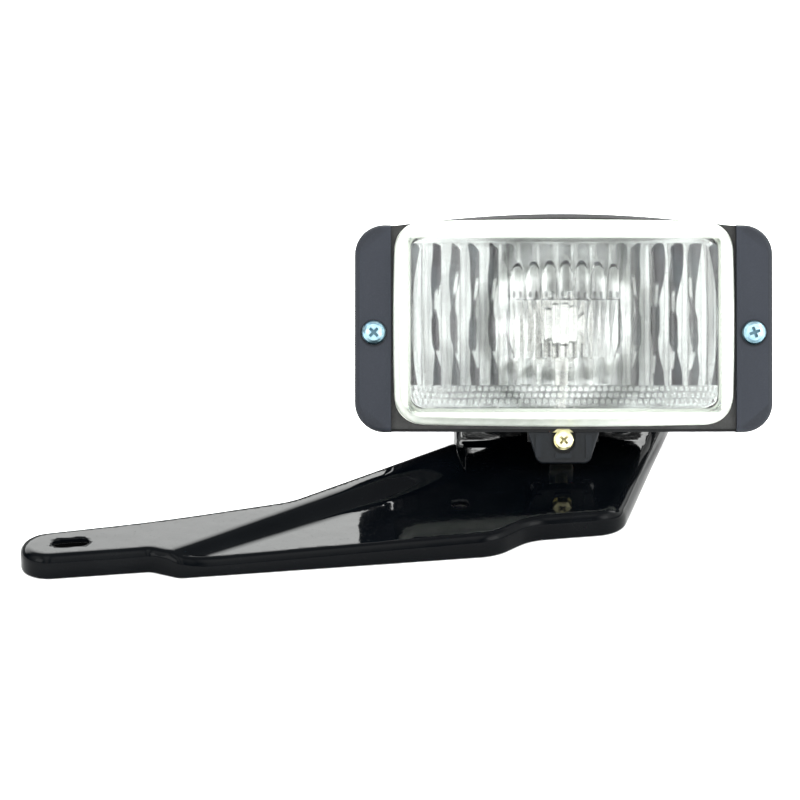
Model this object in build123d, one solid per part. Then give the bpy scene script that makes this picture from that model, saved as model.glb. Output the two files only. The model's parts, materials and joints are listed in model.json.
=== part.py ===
"""Rectangular fog light on its pressed steel mounting arm.

Millimetres, +Z up, lens towards -Y, standing on the arm's flange edges.
The lamp's own pieces are drawn in the lamp frame: X to the side, Y rearwards from the ear faces (depth)
and Z up the lens. LAMP leans that frame back and lifts it to its place over the arm.
"""
import os
from math import cos, radians, sin

from build123d import *

os.makedirs("parts", exist_ok=True)

# Place of the lamp over the arm
LEAN = 25.0                     # lens normal above level, degrees
FACE_Y = 16.6                   # centre of the ear faces
FACE_Z = 60.6
ORIGIN_X = -59.0                # middle of the whole object, seen from the lamp's centre line
ORIGIN_Y = 10.9

# Bezel and lens
EAR_OUT = 77.5                  # half width over the ears
EAR_IN = 64.0                   # half width between the ears
EAR_HALF_H = 38.5
EAR_RADIUS = 11.0
EAR_EDGE = 2.0                  # rounding round the ear faces
EAR_FACE_T = 2.8
EAR_DEPTH = 9.0
RING_FRONT = 3.0
RING_BACK = 6.0
RING_TOP = 41.3
RING_SIDE = 38.2                # its top edge arches from here up to RING_TOP
RING_BOTTOM = -38.3
LENS_MID = 2.1                  # the optical axis is a little above the ears' middle
LENS_W = 127.2
LENS_H = 77.2
LENS_BULGE = 1.0
LENS_RADIUS = 10.5
LENS_BASE = 2.0
LENS_SHOULDER = -4.5
LENS_CROWN = -6.6
LENS_DRAFT = 2.9                # how far the lens walls lean in
LENS_SKIN = 3.6
DOME_RADIUS = 1225.0
GASKET_BOTTOM = -37.2

# Reflector and bulb
FOCAL = 22.0
APERTURE_W = 114.0
APERTURE_H = 64.0
APERTURE_R = 8.0
REFLECTOR_SKIN = 1.2
RIM_FRONT = 6.05
VERTEX = 50.5
SEAT = VERTEX - FOCAL + 18.0    # an H3 filament stands 18 mm in front of its flange
HOLDER_R = 12.4
BULB_R = 5.75

# Housing
BAND_FRONT = 6.3
BAND_BACK = 26.0
BAND_HALF_W = 64.5
BAND_BOTTOM = -35.5
CROWN_TOP = 43.8
CROWN_SIDE = 38.9
CROWN_DEPTH = 16.0              # the crown rises from the mouth to here
MOUTH_TOP = 41.6
MOUTH_SIDE = 38.6
SKIN = 1.5
REAR_WALL = 70.0
REAR_SIZE = 42.0

# Screws
EAR_SCREW_X = 70.4
EAR_SCREW_Z = -1.5
M5_R = 2.5
AIM_Z = -41.3                   # aiming screw axis
AIM_R = 2.4
AIM_TIP = 23.0
PIVOT_DEPTH = 19.0
PIVOT_Z = 2.0
PIN_R = 3.0
RUNNING = 0.05                  # radial clearance of a turning fit

# Stay
STAY_T = 2.5
STAY_IN = 65.8                  # half width between its arms
STAY_Y0 = 45.0
STAY_Y1 = 62.0
STAY_BOLT_X = 25.0
M6_R = 3.0

# Mounting arm, plan in millimetres from the lamp's centre line
SHEET = 2.3
PLATE_Z = 8.8                   # top of the plate under the lamp
LAND_Z = 8.8                    # top of the land round the slot
LAND_RISE = 0.045               # the rib climbs towards the lamp
PANEL_FALL = 0.026              # the panel falls away from its crease
CREASE = (-24.3, -51.4)
SEAT_Y = 28.0                   # front of the flat seat for the stay
RIB_START = -147.0              # the rib climbs from here
RIB_FOOT = (-147.0, -68.6)      # a point on the top of the rib's long wall
RIB_WALL_X = 0.34               # how that wall slopes
RIB_WALL_Y = -0.53
RIB_END_X = -36.6
RIB_END_Y = 30.0
END_C = (-184.7, -57.2)
END_R = 10.8
SLOT_C = (-177.6, -56.3)
SLOT_L = 13.0
SLOT_W = 6.8
ARM_ANGLE = 9.0
HOLE_C = (-38.8, -23.4)
HOLE_R = 3.0
REAR_Y = 76.0
REAR_HOLE_X = 28.0
REAR_HOLE_Y = 69.0
REAR_HOLE_R = 4.25

# Stay, its tab and the aiming nut
ARM_EYE_R = 7.0
BEND_R = 1.5
TAB_FRONT = 19.0
TAB_TOP = -36.6
TAB_HALF_W = 7.5
TONGUE_Y = 15.4                 # where the tab stands up from the tongue
SLIT_Y = 26.8                   # slit in the tongue that clears the aiming screw and its nut
SLIT_L = 20.9
SLIT_W = 7.0
NUT_NECK = 6.4
NUT_PLAY = 0.35                 # lets the nut take the screw's small change of angle
M6_AF = 10.0

# Bulb clip, lead and grommet
HOLDER_BACK = 51.8
CAN_BACK = 54.0
CLIP_PIN_DEPTH = 53.9
CLIP_PIN_Z = -10.9
CLIP_PIN_R = 0.75
WIRE_R = 0.5
LEAD_R = 1.1
GROMMET_Z = -8.0
GROMMET_R = 4.2

# Foot
FOOT_TOP = -38.5
FOOT_LOW = -50.0
POCKET_R = 4.4
POCKET_LOW = -41.9              # middle of the pocket's round end
POCKET_FLOOR = 4.4
RIVET_X = 9.3
RIVET_DEPTH = 11.2
RIVET_R = 1.6
DRAIN_X = 42.0
DRAIN_DEPTH = 16.0
DRAIN_R = 2.2
AIM_AF = 6.4
HEAD_CLEAR_R = 4.7              # notch in the bezel over the screw's head

LAMP = Pos(0, FACE_Y, FACE_Z) * Rot(-LEAN, 0, 0)
STAY_MID_Y = (STAY_Y0 + STAY_Y1) / 2
STAY_TOP = PLATE_Z + STAY_T


# ---- drawing helpers -------------------------------------------------------------------------------

def slab(sketch, front, back):
    """Push a sketch on the lamp's face from one depth to another."""
    return extrude(Plane.XZ.offset(-front) * sketch, -(back - front))


def round_rect(width, height, radius, x=0.0, z=0.0):
    return Pos(x, z) * RectangleRounded(width, height, radius)


def rod_y(radius, front, back, x=0.0, z=0.0):
    """Cylinder along the lamp's depth."""
    return slab(Pos(x, z) * Circle(radius), front, back)


def rod_x(radius, x0, x1, y=0.0, z=0.0):
    """Cylinder across the lamp."""
    return extrude(Plane.YZ.offset(x0) * Pos(y, z) * Circle(radius), x1 - x0)


def rod_z(radius, z0, z1, x=0.0, y=0.0):
    return extrude(Plane.XY.offset(z0) * Pos(x, y) * Circle(radius), z1 - z0)


def turned(points, x=0.0, z=0.0):
    """Revolve (radius, depth) points about a line along the depth."""
    face = make_face(Polyline(*points, close=True))
    return Pos(x, 0, z) * revolve(face, Axis.Y)


def both_sides(piece):
    return [piece, mirror(piece, Plane.YZ)]


def hexagon(across_flats):
    return RegularPolygon(across_flats / 2, 6, major_radius=False)


def cross_recess(width, blade, front, depth, x, z, turn):
    """Cross-head recess in a screw head, turned in degrees."""
    blades = Rectangle(width, blade) + Rectangle(blade, width)
    return slab(Pos(x, z) * Rot(0, 0, turn) * blades, front, front + depth)


def arched(half, bottom, side, top):
    """Face with an upright left and right edge, a level bottom and an arched top."""
    return make_face([
        Line((-half, bottom), (half, bottom)),
        Line((half, bottom), (half, side)),
        ThreePointArc((half, side), (0, top), (-half, side)),
        Line((-half, side), (-half, bottom)),
    ])


def pillow(width, height, bulge, radius):
    """Rectangle with gently bowed sides and round corners."""
    x = width / 2 - bulge
    z = height / 2 - bulge
    sides = [
        ThreePointArc((-x, -z), (0, -height / 2), (x, -z)),
        ThreePointArc((x, -z), (width / 2, 0), (x, z)),
        ThreePointArc((x, z), (0, height / 2), (-x, z)),
        ThreePointArc((-x, z), (-width / 2, 0), (-x, -z)),
    ]
    face = make_face(sides)
    return Pos(0, LENS_MID) * fillet(face.vertices(), radius)


# ---- mounting arm ----------------------------------------------------------------------------------

def arm_outline(inset):
    """Plan of the arm, from its round slotted end to the wide plate under the lamp."""
    a0 = radians(ARM_ANGLE)
    a1 = radians(15.0)
    front = (END_C[0] + END_R * sin(a0), END_C[1] - END_R * cos(a0))
    tip = (END_C[0] - END_R, END_C[1])
    back = (END_C[0] - END_R * sin(a1), END_C[1] + END_R * cos(a1))
    edge = [
        front, (-149.0, -62.6), (-138.5, -67.6), (-26.0, -50.4), (-13.5, -38.2), (19.8, -32.6),
        (49.8, REAR_Y), (-40.0, REAR_Y), (-40.0, 20.0), (-101.0, -25.2), back,
    ]
    face = make_face([Polyline(*edge), ThreePointArc(back, tip, front)])
    radii = {1: 6.0, 2: 6.0, 3: 17.0, 4: 17.0, 5: 13.0, 6: 6.0, 7: 6.0, 8: 10.0, 9: 22.0}
    for index, radius in radii.items():
        point = Vector(*edge[index])
        corner = face.vertices().sort_by_distance(point)[0]
        face = fillet(corner, radius)
    if inset:
        face = offset(face, -inset)
    return face


def below(point, normal, size=600.0):
    """Everything under a plane, as one big block."""
    return Plane(origin=point, z_dir=normal) * Box(size, size, size, align=(Align.CENTER, Align.CENTER, Align.MAX))


def arm_form(inset):
    """Solid under the arm's upper surface, with that surface moved in by inset."""
    blank = extrude(arm_outline(inset), 30.0)
    level = (0, 0, 1)
    flat = blank & below((0, 0, PLATE_Z - inset), level)
    panel = flat & below((*CREASE, PLATE_Z - inset), (-PANEL_FALL * 0.9, PANEL_FALL * 0.44, 1))
    seat = flat & below((0, SEAT_Y + inset, PLATE_Z - inset), (0, -0.7, 1))
    land = blank & below((0, 0, LAND_Z - inset), level)
    rib = blank & below((RIB_START, 0, LAND_Z - inset), (-LAND_RISE, 0, 1))
    rib = rib & below((0, RIB_END_Y - inset, PLATE_Z), (0, 1, 0.25))
    raised = (land + rib) & below((*RIB_FOOT, LAND_Z - inset * 1.1), (RIB_WALL_X, RIB_WALL_Y, 1))
    raised = raised & below((RIB_END_X - inset, 0, PLATE_Z), (1, 0, 0.25))
    return panel + seat + raised


def bracket_arm():
    outer = arm_form(0.0)
    inner = arm_form(SHEET)
    arm = outer - inner
    slot = Pos(*SLOT_C, 0) * Rot(0, 0, ARM_ANGLE) * SlotOverall(SLOT_L, SLOT_W)
    arm = arm - extrude(slot, 30.0)
    arm = arm - rod_z(HOLE_R, 0, 30, *HOLE_C)
    for side in (-1, 1):
        arm = arm - rod_z(REAR_HOLE_R, 0, 30, side * REAR_HOLE_X, REAR_HOLE_Y)
        arm = arm - rod_z(M6_R + 0.3, 0, 30, side * STAY_BOLT_X, STAY_MID_Y)
    return arm


# ---- stay and pivots -------------------------------------------------------------------------------

def u_profile(half, bottom, radius):
    """Upright rectangle with round lower corners."""
    face = Polygon((-half, bottom), (half, bottom), (half, PLATE_Z + 12.0), (-half, PLATE_Z + 12.0), align=None)
    return fillet(face.vertices().group_by(Axis.Y)[0], radius)


def lamp_stay():
    """U-shaped strip: base bolted to the plate, arms up to the pivots, tongue for the aiming nut."""
    lean = radians(LEAN)
    pivot_y = FACE_Y + PIVOT_DEPTH * cos(lean) + PIVOT_Z * sin(lean)
    pivot_z = FACE_Z - PIVOT_DEPTH * sin(lean) + PIVOT_Z * cos(lean)
    width = STAY_Y1 - STAY_Y0
    half = STAY_IN + STAY_T
    foot = Pos(STAY_MID_Y, PLATE_Z + 9.0) * Rectangle(width, 8.0)
    eye = Pos(pivot_y, pivot_z) * Circle(ARM_EYE_R)
    arm = extrude(Plane.YZ.offset(STAY_IN) * make_hull(foot.edges() + eye.edges()), STAY_T)
    outer = u_profile(half, PLATE_Z, BEND_R + STAY_T)
    inner = u_profile(STAY_IN, STAY_TOP, BEND_R)
    stay = extrude(Plane.XZ.offset(-STAY_Y0) * (outer - inner), -width) + both_sides(arm)
    tab = slab(Pos(0, -44.0) * Rectangle(2 * TAB_HALF_W, 2 * (TAB_TOP + 44.0)), TAB_FRONT, TAB_FRONT + STAY_T)
    tab = LAMP * (tab - slab(Pos(0, AIM_Z) * Rectangle(NUT_NECK, NUT_NECK), TAB_FRONT, TAB_FRONT + STAY_T))
    above = Pos(0, 0, PLATE_Z) * Box(400, 400, 100, align=(Align.CENTER, Align.CENTER, Align.MIN))
    tongue_mid = (TONGUE_Y + STAY_Y0) / 2
    tongue = Pos(0, tongue_mid, PLATE_Z) * Box(
        2 * TAB_HALF_W, STAY_Y0 - TONGUE_Y, STAY_T, align=(Align.CENTER, Align.CENTER, Align.MIN))
    slit = Pos(0, SLIT_Y) * Rot(0, 0, 90) * SlotOverall(SLIT_L, SLIT_W)
    stay = stay + tongue + (tab & above)
    stay = stay - extrude(Plane.XY.offset(PLATE_Z) * slit, STAY_T)
    for side in (-1, 1):
        stay = stay - rod_z(M6_R + 0.3, PLATE_Z, STAY_TOP, side * STAY_BOLT_X, STAY_MID_Y)
    stay = stay - LAMP * rod_x(PIN_R, -half, half, PIVOT_DEPTH, PIVOT_Z)
    return stay


def stay_bolts():
    """Hex bolts through the stay's base and the plate."""
    bolts = []
    for side in (-1, 1):
        place = Pos(side * STAY_BOLT_X, STAY_MID_Y, 0)
        head = extrude(Plane.XY.offset(STAY_TOP) * hexagon(M6_AF), 4.0)
        head = head & (Pos(0, 0, STAY_TOP - 1.6) * Cone(M6_AF, 0.8, M6_AF * 0.92, align=(Align.CENTER, Align.CENTER, Align.MIN)))
        bolts.append(place * (head + rod_z(M6_R, 0.8, STAY_TOP + 0.5)))
    return bolts


def stay_nuts():
    """Hex nuts under the plate."""
    top = PLATE_Z - SHEET
    nut = extrude(Plane.XY.offset(top - 4.8) * hexagon(M6_AF), 4.8) - rod_z(M6_R, 0, top)
    return [Pos(side * STAY_BOLT_X, STAY_MID_Y, 0) * nut for side in (-1, 1)]


def aim_nut():
    """Plastic nut snapped into the stay's tab; the aiming screw runs in it."""
    nut = slab(Pos(0, AIM_Z) * RectangleRounded(9.0, 9.0, 1.0), 16.0, TAB_FRONT)
    nut = nut + slab(Pos(0, AIM_Z) * Rectangle(NUT_NECK, NUT_NECK), TAB_FRONT, TAB_FRONT + STAY_T)
    return LAMP * (nut - rod_y(AIM_R + NUT_PLAY, 15.0, 24.0, 0, AIM_Z))


def pivot_pins():
    """Shouldered pins riveted into the stay's arms; the lamp turns on their inner ends."""
    out = STAY_IN + STAY_T
    pin = rod_x(PIN_R, 61.8, out + 1.2, PIVOT_DEPTH, PIVOT_Z)
    head = rod_x(5.6, out + 1.0, out + 3.6, PIVOT_DEPTH, PIVOT_Z)
    rim = head.edges().sort_by(Axis.X)[-1]
    return [LAMP * piece for piece in both_sides(pin + fillet(rim, 1.4))]


def pivot_washers():
    out = STAY_IN + STAY_T
    ring = rod_x(6.6, out, out + 1.0, PIVOT_DEPTH, PIVOT_Z) - rod_x(PIN_R, out, out + 1.0, PIVOT_DEPTH, PIVOT_Z)
    return [LAMP * piece for piece in both_sides(ring)]


def pivot_bushes():
    """Flanged plastic bushes in the housing's sides."""
    bush = rod_x(4.5, 61.6, 65.0, PIVOT_DEPTH, PIVOT_Z) + rod_x(7.0, BAND_HALF_W, 65.6, PIVOT_DEPTH, PIVOT_Z)
    bush = bush - rod_x(PIN_R + RUNNING, 61.0, 66.0, PIVOT_DEPTH, PIVOT_Z)
    return [LAMP * piece for piece in both_sides(bush)]


# ---- bezel, lens and reflector ---------------------------------------------------------------------

def bezel():
    """Two hollow ears joined by a flat ring behind the lens."""
    plate = Polygon((EAR_IN, -EAR_HALF_H), (EAR_OUT, -EAR_HALF_H), (EAR_OUT, EAR_HALF_H), (EAR_IN, EAR_HALF_H),
                    align=None)
    corners = [v for v in plate.vertices() if v.X > EAR_IN + 1]
    ear = slab(fillet(corners, EAR_RADIUS), 0, EAR_DEPTH)
    front = ear.faces().sort_by(Axis.Y)[0]
    ear = fillet([e for e in front.edges() if e.center().X > EAR_IN + 0.01], EAR_EDGE)
    wall = 2.0
    pocket = Polygon((EAR_IN + wall, -EAR_HALF_H + wall), (EAR_OUT - wall, -EAR_HALF_H + wall),
                     (EAR_OUT - wall, EAR_HALF_H - wall), (EAR_IN + wall, EAR_HALF_H - wall), align=None)
    corners = [v for v in pocket.vertices() if v.X > EAR_IN + wall + 1]
    ear = ear - slab(fillet(corners, EAR_RADIUS - wall), EAR_FACE_T, EAR_DEPTH)
    sill = Pos(EAR_IN, 0) * Rectangle(2 * wall, 3 * EAR_HALF_H)
    ear = ear - slab(sill, RING_BACK, EAR_DEPTH)
    ear = ear - rod_y(M5_R + 0.25, 0, EAR_DEPTH, EAR_SCREW_X, EAR_SCREW_Z)
    ring = slab(arched(EAR_IN + 1, RING_BOTTOM, RING_SIDE, RING_TOP), RING_FRONT, RING_BACK)
    ring = ring - slab(round_rect(APERTURE_W + 1, APERTURE_H + 1, APERTURE_R, 0, LENS_MID), RING_FRONT, RING_BACK)
    ring = ring - rod_y(HEAD_CLEAR_R, RING_FRONT, RING_BACK, 0, AIM_Z)
    frame = ring + both_sides(ear)
    return LAMP * frame


def lens_block(skin, front):
    """Lens outline shrunk by skin, its walls leaning in from the base to a front depth."""
    lean = LENS_DRAFT * (LENS_BASE - front) / (LENS_BASE - LENS_SHOULDER)
    base = pillow(LENS_W - 2 * skin, LENS_H - 2 * skin, LENS_BULGE, LENS_RADIUS - skin)
    top = pillow(LENS_W - 2 * (skin + lean), LENS_H - 2 * (skin + lean), LENS_BULGE, LENS_RADIUS - skin - lean / 2)
    return loft([Plane.XZ.offset(-LENS_BASE) * base, Plane.XZ.offset(-front) * top], ruled=True)


def lens():
    """Pillowed glass cover, hollow behind, with leaning walls."""
    reach = 80.0
    sag = reach ** 2 / (2 * DOME_RADIUS)
    dome = ThreePointArc((0, LENS_CROWN), (reach / 2, LENS_CROWN + sag / 4), (reach, LENS_CROWN + sag))
    back = Polyline((reach, LENS_CROWN + sag), (reach, 10), (0, 10), (0, LENS_CROWN))
    cap = Pos(0, 0, LENS_MID) * revolve(make_face([dome, back]), Axis.Y)
    body = lens_block(0, LENS_CROWN) & cap
    return LAMP * (body - lens_block(LENS_SKIN, LENS_CROWN + LENS_SKIN))


def lens_sealant():
    """Bead of pale sealant under the lens's rim."""
    edge = 0.3
    bead = pillow(LENS_W - 2 * edge, LENS_H - 2 * edge, LENS_BULGE, LENS_RADIUS - edge)
    hole = pillow(LENS_W - 2 * LENS_SKIN, LENS_H - 2 * LENS_SKIN, LENS_BULGE, LENS_RADIUS - LENS_SKIN)
    return LAMP * slab(bead - hole, LENS_BASE, RING_FRONT)


def lens_gasket():
    """Black sheet that fills the recess round the lens, between the ears."""
    edge = 0.3
    sheet = arched(EAR_IN - 0.1, GASKET_BOTTOM, RING_SIDE, RING_TOP)
    hole = pillow(LENS_W - 2 * edge, LENS_H - 2 * edge, LENS_BULGE, LENS_RADIUS - edge)
    return LAMP * slab(sheet - hole, LENS_BASE, RING_FRONT)


def bowl(vertex, skin):
    """Paraboloid body, open towards the lens, grown by skin."""
    reach = 75.0
    depth = vertex - reach ** 2 / (4 * FOCAL)
    curve = Bezier((0, vertex), (reach / 2, vertex), (reach, depth))
    sides = Polyline((reach, depth), (reach, depth - 60), (0, depth - 60), (0, vertex))
    solid = Pos(0, 0, LENS_MID) * revolve(make_face([curve, sides]), Axis.Y)
    trim = round_rect(APERTURE_W + 2 * skin, APERTURE_H + 2 * skin, APERTURE_R + skin, 0, LENS_MID)
    return solid & slab(trim, RIM_FRONT, vertex + 1)


def reflector():
    """Paraboloid with flat top and bottom walls, a rim and a hole for the bulb."""
    rim = slab(round_rect(121.0, 70.0, 9.0, 0, LENS_MID), RIM_FRONT, RIM_FRONT + REFLECTOR_SKIN)
    shell = bowl(VERTEX + REFLECTOR_SKIN, REFLECTOR_SKIN) + rim
    shell = shell - bowl(VERTEX, 0)
    return LAMP * (shell - rod_y(HOLDER_R, 40, 60, 0, LENS_MID))


# ---- bulb ------------------------------------------------------------------------------------------

def bulb_holder():
    """Pressed cup in the reflector's neck, with lugs for the clip's pin."""
    cup = turned([(9.0, SEAT - 1.2), (HOLDER_R, SEAT - 1.2), (HOLDER_R, 50.6), (15.0, 50.6), (15.0, HOLDER_BACK),
                  (11.2, HOLDER_BACK), (11.2, SEAT), (9.0, SEAT)], 0, LENS_MID)
    lug = slab(Pos(9.9, CLIP_PIN_Z) * Rectangle(1.0, 4.4), HOLDER_BACK - 0.6, CLIP_PIN_DEPTH + 2.0)
    cup = cup + both_sides(lug)
    return LAMP * (cup - rod_x(CLIP_PIN_R, -12, 12, CLIP_PIN_DEPTH, CLIP_PIN_Z))


def bulb_base():
    """Metal neck, flange and rear can of the bulb."""
    base = turned([(BULB_R + 0.1, 38.0), (7.2, 38.0), (7.2, SEAT), (10.8, SEAT), (10.8, SEAT + 1.0), (6.5, SEAT + 1.0),
                   (6.5, CAN_BACK), (0, CAN_BACK), (0, 43.0), (BULB_R + 0.1, 43.0)], 0, LENS_MID)
    return LAMP * base


def bulb_glass():
    nose = 26.2
    inner = BULB_R - 0.8
    glass = rod_y(BULB_R, nose, 41.0, 0, LENS_MID) + Pos(0, nose, LENS_MID) * Sphere(BULB_R)
    return LAMP * (glass - rod_y(inner, nose, 36.0, 0, LENS_MID) - Pos(0, nose, LENS_MID) * Sphere(inner))


def filament():
    focus = VERTEX - FOCAL
    coil = rod_x(0.6, -2.5, 2.5, focus, LENS_MID)
    posts = [rod_y(0.35, focus, 36.0, x, LENS_MID) for x in (-2.2, 2.2)]
    return LAMP * (coil + posts)


def bulb_shield():
    """Cap in front of the bulb's nose, on a leg from the reflector's floor."""
    cap = turned([(0, 13.0), (7.4, 13.0), (8.2, 14.0), (8.2, 19.0), (7.4, 19.0), (7.4, 14.6), (7.0, 13.8), (0, 13.8)],
                 0, LENS_MID)
    floor = LENS_MID - APERTURE_H / 2
    leg = slab(Pos(0, (floor - 5.0) / 2) * Rectangle(3.0, -5.0 - floor), 14.6, 15.6)
    return LAMP * (cap + leg)


def bulb_lead():
    """Insulated lead from the bulb to the cable grommet."""
    path = FilletPolyline((0, CAN_BACK, LENS_MID), (0, 59.5, LENS_MID), (0, 64.0, GROMMET_Z), (0, REAR_WALL - 1, GROMMET_Z),
                          radius=3.0)
    section = Plane(origin=(0, CAN_BACK, LENS_MID), z_dir=(0, 1, 0)) * Circle(LEAD_R)
    return LAMP * sweep(section, path)


def clip_pin():
    return LAMP * rod_x(CLIP_PIN_R, -10.6, 10.6, CLIP_PIN_DEPTH, CLIP_PIN_Z)


def bulb_clip():
    """Spring wire that presses the bulb's flange against its seat."""
    leg = 7.25
    rest = SEAT + 1.0 + 0.3 + WIRE_R
    side = [(CLIP_PIN_DEPTH, CLIP_PIN_Z + 1.6), (CLIP_PIN_DEPTH, -5.6), (rest, -4.2), (rest, 7.6),
            (HOLDER_BACK + 0.9, 9.6), (HOLDER_BACK + 0.9, 14.2)]
    points = [(-leg, t, z) for t, z in side] + [(leg, t, z) for t, z in reversed(side)]
    path = FilletPolyline(*points, radius=0.9)
    wire = sweep(Plane(origin=points[0], z_dir=(0, 0, 1)) * Circle(WIRE_R), path)
    eye = rod_x(1.9, leg - 0.7, leg + 0.7, CLIP_PIN_DEPTH, CLIP_PIN_Z)
    eye = eye - rod_x(CLIP_PIN_R + RUNNING, leg - 1, leg + 1, CLIP_PIN_DEPTH, CLIP_PIN_Z)
    return LAMP * (wire + both_sides(eye))


# ---- housing ---------------------------------------------------------------------------------------

def crown_outline(inset, crown_side=CROWN_SIDE, crown_top=CROWN_TOP):
    """Outline of the housing: flat bottom and sides, gently arched top."""
    face = arched(BAND_HALF_W - inset, BAND_BOTTOM + inset, crown_side - inset, crown_top - inset)
    low = [v for v in face.vertices() if v.Y < 0]
    face = fillet(low, 10.0 - inset)
    high = face.vertices().group_by(Axis.Y)[-1]
    return fillet(high, 6.0 - inset)


def housing_form(inset, front):
    """Body of the housing: straight band, shoulder, and bulb chamber behind."""
    mouth = crown_outline(inset, MOUTH_SIDE, MOUTH_TOP)
    band = loft([Plane.XZ.offset(-front) * mouth, Plane.XZ.offset(-CROWN_DEPTH) * crown_outline(inset)], ruled=True)
    band = band + slab(crown_outline(inset), CROWN_DEPTH, BAND_BACK)
    sections = [(BAND_BACK, None), (44.0, (80.0, 69.0, 27.0)), (52.0, (46.0, 45.0, 20.0)),
                (REAR_WALL - inset, (REAR_SIZE, REAR_SIZE, 19.0))]
    faces = []
    for depth, size in sections:
        if size is None:
            sketch = crown_outline(inset)
        else:
            sketch = round_rect(size[0] - 2 * inset, size[1] - 2 * inset, size[2] - inset, 0, LENS_MID)
        faces.append(Plane.XZ.offset(-depth) * sketch)
    return band + loft(faces, ruled=True)


def housing():
    shell = housing_form(0.0, BAND_FRONT) - housing_form(SKIN, BAND_FRONT)
    lug = slab(Pos(69.5, EAR_SCREW_Z) * RectangleRounded(11.4, 16.0, 1.5), BAND_FRONT, BAND_FRONT + 2.0)
    lug = lug - rod_y(M5_R + 0.1, 0, 12, EAR_SCREW_X, EAR_SCREW_Z)
    shell = shell + both_sides(lug)
    shell = shell - rod_x(4.5, -70, 70, PIVOT_DEPTH, PIVOT_Z)
    shell = shell - rod_y(GROMMET_R, REAR_WALL - 5, REAR_WALL + 5, 0, GROMMET_Z)
    for side in (-1, 1):
        shell = shell - Pos(side * RIVET_X, RIVET_DEPTH, -40) * Cylinder(RIVET_R, 20)
    shell = shell - Pos(DRAIN_X, DRAIN_DEPTH, -35) * Cylinder(DRAIN_R, 10)
    return LAMP * shell


def housing_seal():
    """Rubber ring between the reflector's rim and the housing."""
    mouth = crown_outline(SKIN, MOUTH_SIDE, MOUTH_TOP)
    ring = slab(mouth, BAND_FRONT, BAND_FRONT + 1.6)
    return LAMP * (ring - slab(round_rect(121.2, 70.2, 9.0, 0, LENS_MID), 0, 20))


def cable_grommet():
    """Rubber grommet in the rear wall; the vehicle's lead enters here."""
    inner = REAR_WALL - SKIN
    ring = turned([(LEAD_R, inner - 1.5), (5.2, inner - 1.5), (5.2, inner), (GROMMET_R, inner), (GROMMET_R, REAR_WALL),
                   (5.6, REAR_WALL), (4.6, REAR_WALL + 2.6), (LEAD_R, REAR_WALL + 2.6)], 0, GROMMET_Z)
    return LAMP * ring


def drain_plug():
    """Rubber plug in the housing's floor."""
    floor = BAND_BOTTOM
    plug = Cylinder(3.8, 1.4, align=(Align.CENTER, Align.CENTER, Align.MAX))
    plug = plug + Cylinder(DRAIN_R, SKIN, align=(Align.CENTER, Align.CENTER, Align.MIN))
    plug = plug + Pos(0, 0, SKIN) * Cone(3.0, 2.0, 1.0, align=(Align.CENTER, Align.CENTER, Align.MIN))
    return LAMP * Pos(DRAIN_X, DRAIN_DEPTH, floor) * plug


# ---- foot and screws -------------------------------------------------------------------------------

def aim_foot():
    """Plastic foot under the lamp; the aiming screw turns in it."""
    front = Polygon((-13.3, FOOT_TOP), (-9.6, FOOT_LOW), (9.6, FOOT_LOW), (13.3, FOOT_TOP), align=None)
    low = front.vertices().group_by(Axis.Y)[0]
    foot = slab(fillet(low, 3.0), 3.0, 6.0)
    outline = foot.faces().sort_by(Axis.Y)[0]
    foot = fillet([e for e in outline.edges() if e.center().Z < FOOT_TOP - 0.1], 0.7)
    rail = slab(Pos(9.3, -38.8) * Rectangle(7.4, 6.4), 6.1, 14.0)
    web = slab(Polygon((11.0, -42.0), (13.0, -42.0), (13.0, FOOT_TOP), (11.0, FOOT_TOP), align=None), 5.0, 14.0)
    gusset = slab(Polygon((8.6, -48.0), (9.8, -48.0), (12.6, -41.0), (11.2, -41.0), align=None), 5.0, 8.0)
    foot = foot + both_sides(rail + web + gusset)
    for side in (-1, 1):
        foot = foot + slab(Pos(side * 9.3, -43.6) * RectangleRounded(2.2, 8.4, 0.5), 2.4, 4.0)
    pocket = Pos(0, POCKET_LOW) * Circle(POCKET_R) + Pos(0, POCKET_LOW + 4.0) * Rectangle(2 * POCKET_R, 8.0)
    foot = foot - slab(pocket, 2.0, POCKET_FLOOR)
    lip = slab(Pos(0, -47.2) * RectangleRounded(6.0, 1.7, 0.6), 2.2, 4.0)
    foot = foot + lip - rod_y(AIM_R + RUNNING, 2, 12, 0, AIM_Z)
    for side in (-1, 1):
        foot = foot - Pos(side * RIVET_X, RIVET_DEPTH, -40) * Cylinder(RIVET_R, 20)
    return LAMP * foot


def foot_rivets():
    """Rivets that hold the foot to the housing's floor."""
    inside = BAND_BOTTOM + SKIN
    low = -42.0
    shank = Pos(0, 0, low) * Cylinder(RIVET_R, inside - low, align=(Align.CENTER, Align.CENTER, Align.MIN))
    head = Pos(0, 0, low) * Cone(1.6, 2.9, 1.2, align=(Align.CENTER, Align.CENTER, Align.MAX))
    tail = Pos(0, 0, inside) * Cone(2.8, 1.8, 0.9, align=(Align.CENTER, Align.CENTER, Align.MIN))
    rivet = shank + head + tail
    return [LAMP * Pos(side * RIVET_X, RIVET_DEPTH, 0) * rivet for side in (-1, 1)]


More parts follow.
